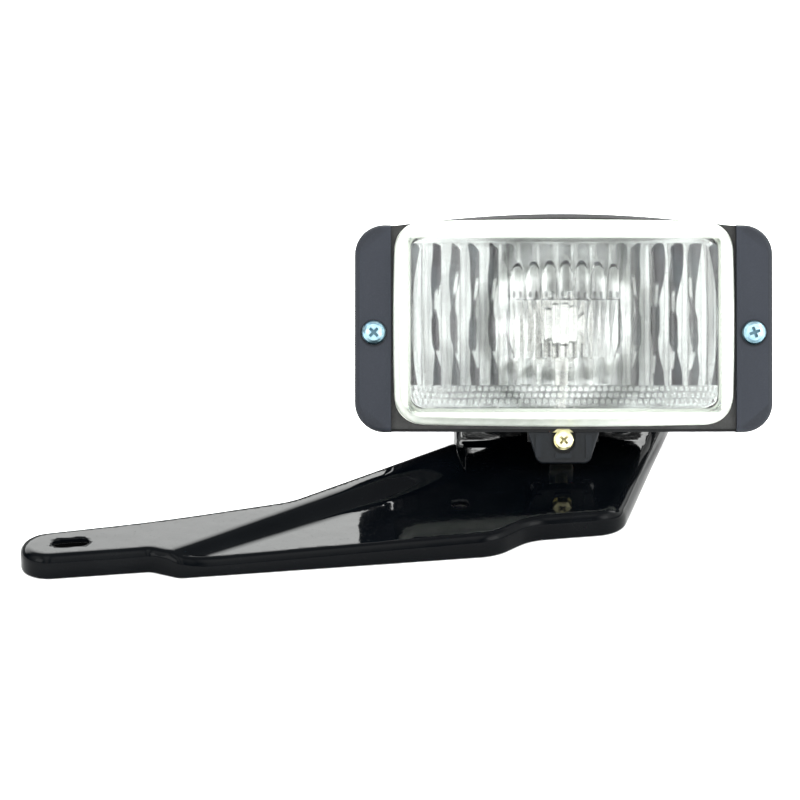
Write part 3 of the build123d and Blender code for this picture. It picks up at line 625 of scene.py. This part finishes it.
def arm_piece():
    """The arm as one sheet: upper face, bend, flange, lip, and the same again on the inside."""
    turns = [radians(a) for a in range(105, 280, 6)]
    tip = [(TIP[0] + TIP_RADIUS * cos(a), TIP[1] + TIP_RADIUS * sin(a)) for a in turns]
    corners = [(x, y) for x, y, _ in ARM_CORNERS]
    radii = [radius for _, _, radius in ARM_CORNERS]
    outline = resample(rounded(tip + corners, [0] * len(tip) + radii), 1.6)
    n = len(outline)
    holes, tight = arm_openings(RIM), arm_openings(0.0)
    bend = [side_bend(x, y) for x, y in outline]
    edge = inset(outline, bend)
    verts, tris = fill(edge, holes, 1.2, 1.05)
    top = [arm_top(x, y) for x, y in verts]
    pts = [(x, y, z) for (x, y), z in zip(verts, top)]
    count = len(pts)
    pts += [(x, y, z - SHEET) for (x, y), z in zip(verts, top)]
    faces = tris + [tuple(count + i for i in reversed(t)) for t in tris]
    level = top[:n]
    # outside bend, flange, rounded lip, and inside of the flange
    turns = [radians(15 * k) for k in range(1, 7)]
    profile = [([b * (1 - sin(a)) for b in bend], [b * (1 - cos(a)) for b in bend], None) for a in turns]
    profile += [(0.0, None, 1.6), (0.0, None, 0.5), (0.15, None, 0.15), (0.5, None, 0.0),
                (SHEET - 0.5, None, 0.0), (SHEET - 0.15, None, 0.15), (SHEET, None, 0.5), (SHEET, None, 1.2)]
    turns = [radians(30 * k) for k in range(0, 3)]
    profile += [([SHEET + (b - SHEET) * (1 - cos(a)) for b in bend],
                 [SHEET + (b - SHEET) * (1 - sin(a)) for b in bend], None) for a in turns]
    last = 0
    for away, drop, height in profile:
        ring = inset(outline, away)
        start = len(pts)
        pts += [(x, y, height if drop is None else level[i] - drop[i]) for i, (x, y) in enumerate(ring)]
        bridge(faces, start, last, n)
        last = start
    bridge(faces, count, last, n)
    at = n
    for wide, narrow in zip(holes, tight):
        m = len(wide)
        rings = []
        for down in (RIM, SHEET - RIM):
            rings.append(len(pts))
            pts += [(x, y, top[at + i] - down) for i, (x, y) in enumerate(narrow)]
        bridge(faces, at, rings[0], m)
        bridge(faces, rings[0], rings[1], m)
        bridge(faces, rings[1], count + at, m)
        at += m
    arm = make("arm_sheet", pts, faces, "arm_gloss_black", "bracket", ARM, 50)
    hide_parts("bracket_arm")


arm_piece()


# ---- fluted glass lens -----------------------------------------------------------------------------

MID = 2.1                      # height of the optical axis above the ear faces' middle
LENS_W, LENS_H, LENS_BULGE, LENS_RADIUS = 127.2, 77.2, 1.0, 10.5
SKIN = 3.6                     # thickness of the leaning walls
BASE = 2.2                     # the rim is bedded a little way into its sealant
LEAN_START, LEAN_END, LEAN_IN = 2.0, -4.5, 2.9         # the walls come in by this much between two depths
SHOULDER = 2.3                 # outside radius where the walls meet the domed face
DOME_CROWN, DOME_RADIUS = -6.6, 1225.0
INNER = -3.0                   # depth of the inner face
FILLET_IN, FILLET_BACK = 1.3, 1.4              # rounding inside, across and in depth

PITCH = 7.0                    # width of a flute
FIELD_X, FIELD_LOW, FIELD_TOP = 56.4, -23.4, 29.4      # where the tall flutes are
BLOCK_LOW, BLOCK_TOP = -13.2, 8.6              # fine flutes behind the bulb
ARCH_TOP, ARCH_PITCH = 23.4, 5.95              # the row of arches above them
MIDDLE_X = 24.5                # half width of the part where the flutes above and below the block darken
PEBBLE = 2.3                   # height of a row of pebbles

INNER_FRONT, INNER_BACK = -3.3, -1.2           # every point between these depths is on the inner face
SHADE_X, SHADE_LOW = 57.6, -32.4               # no prism's shade reaches past here
FROST_X, FROST_TOP, FROST_LOW = 57.0, 30.4, -32.3      # the outside is frosted past here,
CORNER_X, CORNER_Z, CORNER_RADIUS = 52.6, 27.6, 4.0    # and the inside past these round corners
# tint of clear glass, outside and inside, and the two colours of the painted dark reflections in the prisms
CLEAR, INNER_CLEAR = Vector((0.985, 1.0, 0.985)), Vector((0.99, 1.0, 0.99))
DARK_REFLECTION_WARM, DARK_REFLECTION_COOL = Vector((0.07, 0.060, 0.073)), Vector((0.13, 0.155, 0.17))


def pillow_loop(width, height, bulge, radius, step=1.5):
    """Rectangle with gently bowed sides and round corners, counter-clockwise."""
    a, c = width / 2 - bulge, height / 2 - bulge
    loop = resample(rounded([(-a, -c), (a, -c), (a, c), (-a, c)], [radius] * 4, 12), step)
    bowed = []
    for x, z in loop:
        bowed.append((x * (1 + bulge / a * (1 - (z / c) ** 2)), z * (1 + bulge / c * (1 - (x / a) ** 2))))
    return bowed


def flute(u, pitch, depth):
    """Convex round flutes: full depth at the middle of each, a sharp valley between two."""
    s = (u / pitch - floor(u / pitch)) * 2 - 1
    return depth * (1 - s * s)


def flute_place(x):
    """Number of the flute at x, and how far across it x is, from 0 to 1."""
    place = (x + PITCH / 2) / PITCH
    return floor(place), place - floor(place)


def block_edge(z):
    """Half width of the middle block of prisms."""
    return 20.4 - 2.2 * edge_fade(-z - 6.0, 9.0)


def arch_place(x):
    """Distance from the nearest arch's middle line, as a share of half its pitch."""
    k = (x - 0.45) / ARCH_PITCH
    return (k - floor(k + 0.5)) * 2


def arch_height(x):
    """Height of the arches' outline."""
    s = arch_place(x)
    return ARCH_TOP - 0.004 * x * x - 12.0 * (1 - sqrt(max(0.0, 1 - min(1.0, abs(s) / 0.98) ** 2.4)))


def optics(x, z):
    """How far the inner face stands proud towards the reflector, z up from the lens's middle."""
    if abs(x) > FIELD_X or z > FIELD_TOP:
        return 0.0
    q = z / 31.0
    u = x / (1 - 0.03 * q * q * min(1.0, abs(x) / 52.0))
    out = flute(u - PITCH / 2, PITCH, 0.75) * (1 - 0.4 * q * q)
    if abs(x) < block_edge(z) and BLOCK_LOW < z < ARCH_TOP + 0.5:
        if z < BLOCK_TOP:
            out = 0.30 + flute(x - 1.5, 3.0, 0.30)
        elif z < arch_height(x):
            s = arch_place(x)
            out = 0.25 + 0.7 * (1 - s * s) * edge_fade(arch_height(x) - z, 1.6)
        else:
            out *= 0.8
    if z < FIELD_LOW:
        row = (FIELD_LOW - z) / PEBBLE
        if row < 3.0:
            cell = sin(pi * (x / 1.75 + 0.5 * floor(row)))
            out = 0.12 + 0.30 * abs(cell) * sin(pi * (row - floor(row)))
        else:
            out = 0.0
    return out * edge_fade(FIELD_X - abs(x), 0.8) * edge_fade(FIELD_TOP - z, 1.2)


def chance(*seed):
    """A settled random number from 0 to 1."""
    value = sin(sum(v * w for v, w in zip(seed, (12.9898, 78.233, 37.719)))) * 43758.5453
    return value - floor(value)


def band(value, middle, half, soft):
    """1 within half of the middle, falling to 0 over soft."""
    return 1 - edge_fade(abs(value - middle) - half, soft)


def streaks(x, z):
    """Painted dark reflections in the tall outer flutes, and how brown they are."""
    a, side = abs(x), (1 if x > 0 else -1)
    q = abs(z) / 28.0
    k, s = flute_place(a)
    r, r2, r3 = chance(k, side), chance(k + 9, side), chance(k + 31, side)
    high, low = max(z, 0.0) / 29.0, max(-z, 0.0) / 23.0
    if a > 52.5:
        curve = 56.2 - 3.2 * q * q
        dark = 0.85 * edge_fade(a - curve, 0.35) * edge_fade(57.4 - a, 0.5)
        dark += 0.5 * band(a, 52.6 + 0.2 * r, 0.10, 0.35) + 0.25 * band(a, 54.0 - q, 0.1, 0.3) * r
        return min(dark, 1.0), 0.6
    middle = 0.30 + 0.12 * sin(z / 7.0 + 6 * r) * (0.4 + q) + 0.10 * (r2 - 0.5)
    width = 0.075 + 0.06 * r + 0.20 * edge_fade(high - 0.18, 0.5) + 0.14 * edge_fade(low - 0.45, 0.4)
    width += 0.08 * band(z, -6 + 8 * r2, 4.0, 3.0)
    dark = (0.80 + 0.2 * r3) * band(s, middle, width, 0.07)
    tear = band(z, 14.5 - 7 * r3, 2.2, 3.0) * band(s, middle + 0.12 * (r - 0.5) - 0.02 * z / 5, 0.05, 0.07)
    tear = max(tear, band(z, -13.0 - 3 * r2, 2.4, 1.5) * band(s, middle - 0.2 + 0.03 * (z + 14), 0.10, 0.08))
    dark *= 1 - tear
    dark = max(dark, 0.50 * band(s, 0.0, 0.012, 0.035), 0.50 * band(s, 1.0, 0.012, 0.035))
    thin = 0.72 + 0.1 * (r2 - 0.5) + 0.02 * sin(z / 5.0)
    dark = max(dark, 0.30 * band(s, thin, 0.02, 0.05) * (0.5 + 0.5 * r))
    fade = edge_fade(a - 17.0, 8.0)
    return dark * (0.35 + 0.65 * fade) * edge_fade(z - FIELD_LOW + 1.0 + 3.5 * abs(s - 0.5), 0.6), r3


def prisms(x, z):
    """Painted dark reflections in the middle block."""
    edge = block_edge(z)
    if z < BLOCK_TOP:
        wander = x * (1 + 0.010 * (BLOCK_LOW - z) * 0.6)
        r = chance(floor(wander / 1.5))
        line = abs(sin(pi * wander / 1.5))
        dark = (0.18 + 0.45 * r) * (1 - edge_fade(line, 0.45)) + 0.20 * chance(floor(wander / 0.5), 5)
        dark *= 0.45 + 0.55 * band(z, 3.0 + 4 * r, 4.5, 4.0)
        teeth = band(z, -10.2, 2.2, 1.0) * (1 - edge_fade(abs(sin(pi * (x - 0.4) / 3.0)) - 0.30, 0.3))
        teeth *= 1 - edge_fade(abs(x) - 8.6, 1.0)
        dark = max(dark, 0.78 * teeth * (0.75 + 0.25 * r))
        dark = max(dark, 0.55 * band(z, BLOCK_TOP, 0.15, 0.3))
    else:
        top = arch_height(x)
        s = arch_place(x)
        if z < top:
            shell = min(top - z, (1 - abs(s)) * ARCH_PITCH * 0.9)
            thick = 0.55 + 1.5 * edge_fade(z - ARCH_TOP + 5.2, 4.5)
            dark = 0.97 * (1 - edge_fade(shell - thick, 0.35)) * edge_fade(shell - 0.12, 0.3)
            spot = band(z, 10.2, 1.0, 0.5) * band(abs(s), 0.42, 0.12, 0.14)
            dark = max(dark, 0.70 * spot, 0.16 * band(s, 0.0, 0.35, 0.3))
        else:
            dark = 0.0
    return max(dark, 0.75 * band(abs(x), edge, 0.10, 0.35))


def pebbles(x, z):
    """Painted dark reflections in the rows of pebbles and in the dashes under them."""
    row = (FIELD_LOW - z) / PEBBLE
    if row < 2.8:
        r = chance(floor(x / 1.16 + 0.5 * floor(row)), floor(row))
        cell = abs(sin(pi * (x / 2.32 + 0.25 * floor(row)))) * sin(pi * (row - floor(row)))
        inner = 1 - 0.55 * edge_fade(abs(x) - 28.0, 16.0)
        return (0.25 + 0.60 * r) * (1 - edge_fade(cell - 0.22, 0.3)) * inner * edge_fade(55.0 - abs(x), 4.0)
    _, s = flute_place(x)
    short = 0.36 * band(s, 0.5, 0.22, 0.04) * band(z, -30.4, 0.12, 0.3) * edge_fade(44.0 - abs(x), 8.0)
    long = 0.62 if x < 8 else 0.30
    long *= band(s, 0.5, 0.43, 0.03) * band(z, -31.7, 0.22, 0.25) * edge_fade(49.0 - abs(x), 2.0)
    return max(short, long, 0.12 * chance(floor(x / 0.9), floor(z / 0.9)))


def flutes(x, z):
    """Painted dark reflections in the flutes round the middle block, and how brown they are."""
    dark, brown = streaks(x, z)
    _, s = flute_place(abs(x))
    if abs(x) < MIDDLE_X and z > ARCH_TOP - 8:
        dark = max(dark, 0.42 * band(s, 0.5, 0.28, 0.10) * edge_fade(z - arch_height(x) - 0.5, 1.5))
    if abs(x) < MIDDLE_X and z < BLOCK_LOW:
        drop = hypot((s - 0.35) / 0.22, (z + 16.5) / 4.6)
        dark = max(dark, 0.36 * (1 - edge_fade(drop - 0.7, 0.35)))
    return dark, brown


def in_block(x, z):
    """Whether a point is in the middle block, its arches included."""
    if abs(x) >= block_edge(z) + 0.3 or not BLOCK_LOW < z < ARCH_TOP + 0.3:
        return False
    return z < BLOCK_TOP or z < arch_height(x)


def shade_at(x, z):
    """Colour of the painted dark reflections of the prisms on the inner face at a point."""
    brown = 0.3
    k, s = flute_place(abs(x))
    ragged = FIELD_TOP - (0.8 + 2.6 * chance(k, 3.0)) * (2 * s - 1) ** 2
    if z > ragged or abs(x) > SHADE_X or z < SHADE_LOW:
        dark = 0.0
    elif z < FIELD_LOW:
        dark = pebbles(x, z)
    elif in_block(x, z):
        dark = prisms(x, z)
    else:
        dark, brown = flutes(x, z)
    if FIELD_LOW < z < FIELD_TOP and abs(x) < FIELD_X:
        strand = floor(x / 0.64)
        dark = max(dark, 0.15 * chance(strand, floor((z + 7 * chance(strand)) / 16)))
    hue = 0.5 + 0.5 * sin(z / 5.0 + 3.0 * brown + x / 3.0)
    dark_reflection = DARK_REFLECTION_WARM * (1 - 0.55 * hue) + DARK_REFLECTION_COOL * (0.55 * hue)
    colour = INNER_CLEAR.lerp(dark_reflection, min(max(dark, 0.0), 1.0))
    return Vector([c * c for c in colour])


def tint(mesh):
    """Colours by point: painted dark reflections of the prisms on the inner face, and the frosted rim."""
    shade = mesh.attributes.new("shade", "FLOAT_COLOR", "POINT")
    rim = mesh.attributes.new("rim", "FLOAT_COLOR", "POINT")
    local = LAMP.inverted()
    for i, v in enumerate(mesh.vertices):
        x, t, z = (local @ v.co) / MM
        z -= MID
        if INNER_FRONT < t < INNER_BACK:
            colour = shade_at(x, z)
            out = hypot(max(abs(x) - CORNER_X, 0.0), max(abs(z) - CORNER_Z, 0.0)) - CORNER_RADIUS
            frost = 0.85 * edge_fade(out, 0.5)
        else:
            colour = CLEAR
            frost = 0.93 * edge_fade(max(abs(x) - FROST_X, z - FROST_TOP, FROST_LOW - z), 2.2)
        shade.data[i].color = (*colour, 1)
        rim.data[i].color = (frost, frost, frost, 1)


def dome(x, z):
    """Depth of the lens's outer face."""
    return DOME_CROWN + (x * x + z * z) / (2 * DOME_RADIUS)


def lean(t):
    """How far the leaning wall has come in at a depth."""
    return LEAN_IN * (LEAN_START - t) / (LEAN_START - LEAN_END)


def quarter(start, across, depth, steps):
    """Rings round a quarter turn, as distances in and depths left to go, from a wall to a face."""
    turns = [pi / 2 * k / steps for k in range(steps + 1)]
    return [(start + across * (1 - cos(a)), depth * (1 - sin(a))) for a in turns]


def lens_piece():
    """The lens as one moulding: rim, leaning walls and domed face, then its hollow with the prisms."""
    outer = pillow_loop(LENS_W, LENS_H, LENS_BULGE, LENS_RADIUS)
    n = len(outer)
    pts, faces = [], []

    def ring(away, depth, domed=False):
        start = len(pts)
        loop = inset(outer, away)
        pts.extend((x, dome(x, z) + depth if domed else depth, z + MID) for x, z in loop)
        return start

    rings = [ring(*step) for step in ((0.45, BASE), (0.3, 1.95), (0.15, 1.6))]
    rings += [ring(lean(t), t) for t in (0.4, -1.0)]
    turn = quarter(lean(-3.75), SHOULDER, SHOULDER, 6)
    rings += [ring(away, depth, True) for away, depth in turn]
    for a, b in zip(rings, rings[1:]):
        bridge(faces, b, a, n)
    verts, tris = fill(inset(outer, turn[-1][0]), [], 1.2, 1.1)
    start = len(pts)
    pts.extend((x, dome(x, z), z + MID) for x, z in verts)
    bridge(faces, start, rings[-1], n)
    faces += [tuple(start + i for i in t) for t in tris]

    hollow = [ring(SKIN - 0.15, BASE), ring(SKIN, 1.9)]
    hollow += [ring(SKIN + lean(t), t) for t in (0.0, -1.6)]
    turn = quarter(SKIN + lean(-1.6), FILLET_IN, FILLET_BACK, 4)[1:]
    hollow += [ring(away, INNER + depth) for away, depth in turn]
    bridge(faces, rings[0], hollow[0], n)
    for a, b in zip(hollow, hollow[1:]):
        bridge(faces, a, b, n)
    verts, tris = fill(inset(outer, turn[-1][0]), [], 0.32, 0.42)
    start = len(pts)
    pts.extend((x, INNER + (optics(x, z) if i >= n else 0.0), z + MID) for i, (x, z) in enumerate(verts))
    bridge(faces, hollow[-1], start, n)
    faces += [tuple(start + i for i in reversed(t)) for t in tris]
    lens = make("lens_glass_moulding", pts, faces, "lens_glass", "lamp", LAMP, 75)
    tint(lens.data)
    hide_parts("lens")


lens_piece()


# ---- floor, light and camera -----------------------------------------------------------------------

WALL, CEILING, FRONT, RIGHT, FILL = 11.5, 1.0, 2.8, 2.2, 0.12          # brightness of the room's sides
# brightness of the front from left to right: pale cards with dark gaps, for the reflector to mirror
STRIPS = [(0.0, 0.1), (0.12, 0.9), (0.25, 1.0), (0.33, 0.12), (0.40, 0.9), (0.46, 1.0), (0.50, 0.04),
          (0.55, 1.0), (0.61, 0.8), (0.66, 0.1), (0.74, 1.0), (0.88, 0.9), (1.0, 0.1)]
FLOOR_SIZE = 6.0


def studio():
    """White floor, which glows a little behind the lamp."""
    n = Nodes("floor_white")
    grain = n.noise(30, 3.0)
    split = n.node("ShaderNodeSeparateXYZ")
    n.put(split.inputs[0], n.place)
    white = n.mix(grain, (0.93, 0.93, 0.93), (0.95, 0.95, 0.95))
    lit = n.surface(base_color=white, roughness=0.9, specular=0.1, emission=(1.0, 1.0, 1.0))
    n.put(lit.inputs["Emission Strength"], n.grey(split.outputs[1], -0.02, 0.01, 0.0, 0.7))
    mesh = bpy.data.meshes.new("floor")
    corners = [(x * FLOOR_SIZE, y * FLOOR_SIZE, 0) for x, y in ((-1, -1), (1, -1), (1, 1), (-1, 1))]
    mesh.from_pydata(corners, [], [(0, 1, 2, 3)])
    mesh.materials.append(n.mat)
    ground = bpy.data.objects.new("floor", mesh)
    ground.location.z = CAD_BOX[0].z - 0.0002
    bpy.context.scene.collection.objects.link(ground)


def softbox(name, place, aim, width, height, power):
    """An area lamp that faces a point."""
    light = bpy.data.lights.new(name, "AREA")
    light.shape = "RECTANGLE"
    light.size, light.size_y = width, height
    light.energy = power
    box = bpy.data.objects.new(name, light)
    box.location = place
    box.rotation_euler = (Vector(aim) - Vector(place)).to_track_quat("-Z", "Y").to_euler()
    bpy.context.scene.collection.objects.link(box)


def sky():
    """Pale studio room: a bright wall behind, a soft ceiling, and a dimmer front."""
    world = bpy.data.worlds.new("studio")
    world.use_nodes = True
    bpy.context.scene.world = world
    tree = world.node_tree
    back = tree.nodes["Background"]
    place = tree.nodes.new("ShaderNodeTexCoord")
    split = tree.nodes.new("ShaderNodeSeparateXYZ")
    tree.links.new(place.outputs["Generated"], split.inputs[0])

    def rise(axis, low, high, gain):
        """0 up to low along an axis of the world, then a soft rise to gain at high."""
        span = tree.nodes.new("ShaderNodeMapRange")
        span.interpolation_type = "SMOOTHSTEP"
        for key, v in (("From Min", low), ("From Max", high), ("To Min", 0.0), ("To Max", gain)):
            span.inputs[key].default_value = v
        tree.links.new(split.outputs[axis], span.inputs["Value"])
        return span.outputs[0]

    def math(op, a, b):
        m = tree.nodes.new("ShaderNodeMath")
        m.operation = op
        for socket, v in zip(m.inputs, (a, b)):
            if isinstance(v, float):
                socket.default_value = v
            else:
                tree.links.new(v, socket)
        return m.outputs[0]

    # the wall behind ends below in a dim skirting, and has a dark rail on its right half
    wall = math("MULTIPLY", rise(1, 0.25, 0.55, WALL), math("SUBTRACT", 1.0, rise(2, 0.62, 0.80, 1.0)))
    rail = math("SUBTRACT", rise(2, 0.390, 0.400, 1.0), rise(2, 0.4265, 0.4295, 1.0))
    rail = math("MULTIPLY", rail, rise(0, 0.008, 0.014, 1.0))
    wall = math("MULTIPLY", wall, math("SUBTRACT", 1.0, rail))
    wall = math("MULTIPLY", wall, math("ADD", 0.08, rise(2, 0.385, 0.400, 0.92)))
    right = math("MULTIPLY", rise(0, 0.45, 0.75, RIGHT), rise(2, 0.0, 0.2, 1.0))
    ceiling = rise(2, 0.55, 0.90, CEILING)
    strips = tree.nodes.new("ShaderNodeValToRGB")
    across = tree.nodes.new("ShaderNodeMapRange")
    across.inputs["From Min"].default_value = -1
    tree.links.new(split.outputs[0], across.inputs["Value"])
    tree.links.new(across.outputs[0], strips.inputs[0])
    bar = strips.color_ramp
    while len(bar.elements) < len(STRIPS):
        bar.elements.new(0.5)
    for e, (at, glow) in zip(bar.elements, STRIPS):
        e.position = at
        e.color = (glow, glow, glow, 1)
    ahead = math("MULTIPLY", rise(1, 0.15, -0.25, FRONT), strips.outputs[0])
    ahead = math("MULTIPLY", ahead, math("ADD", 0.55, rise(2, -0.05, 0.30, 0.45)))
    light = math("ADD", math("ADD", wall, ceiling), math("ADD", math("ADD", ahead, right), FILL))
    # the camera itself sees plain white
    seen = tree.nodes.new("ShaderNodeLightPath").outputs["Is Camera Ray"]
    shown = tree.nodes.new("ShaderNodeMix")
    tree.links.new(seen, shown.inputs[0])
    tree.links.new(light, shown.inputs[2])
    shown.inputs[3].default_value = 1.0
    tree.links.new(shown.outputs[0], back.inputs["Strength"])
    back.inputs["Color"].default_value = (0.985, 1.0, 0.985, 1)


studio()
sky()
CENTRE = (CAD_BOX[0] + CAD_BOX[1]) / 2
softbox("front_left", (-1.0, -1.1, 0.75), CENTRE, 0.7, 0.9, 7)
softbox("front_right", (1.1, -1.0, 0.9), CENTRE, 0.7, 0.9, 7)

# a long lens about 1.1 m away, looking 24 degrees down
camera = bpy.data.objects.new("camera", bpy.data.cameras.new("camera"))
camera.data.lens = 132.975
camera.data.sensor_width = 36
camera.location = (-0.0017, -1.0046, 0.4814)
camera.rotation_euler = (radians(66.0), 0, 0)
camera.data.clip_start = 0.05
bpy.context.scene.collection.objects.link(camera)
bpy.context.scene.camera = camera
bpy.context.scene.view_settings.view_transform = "Standard"
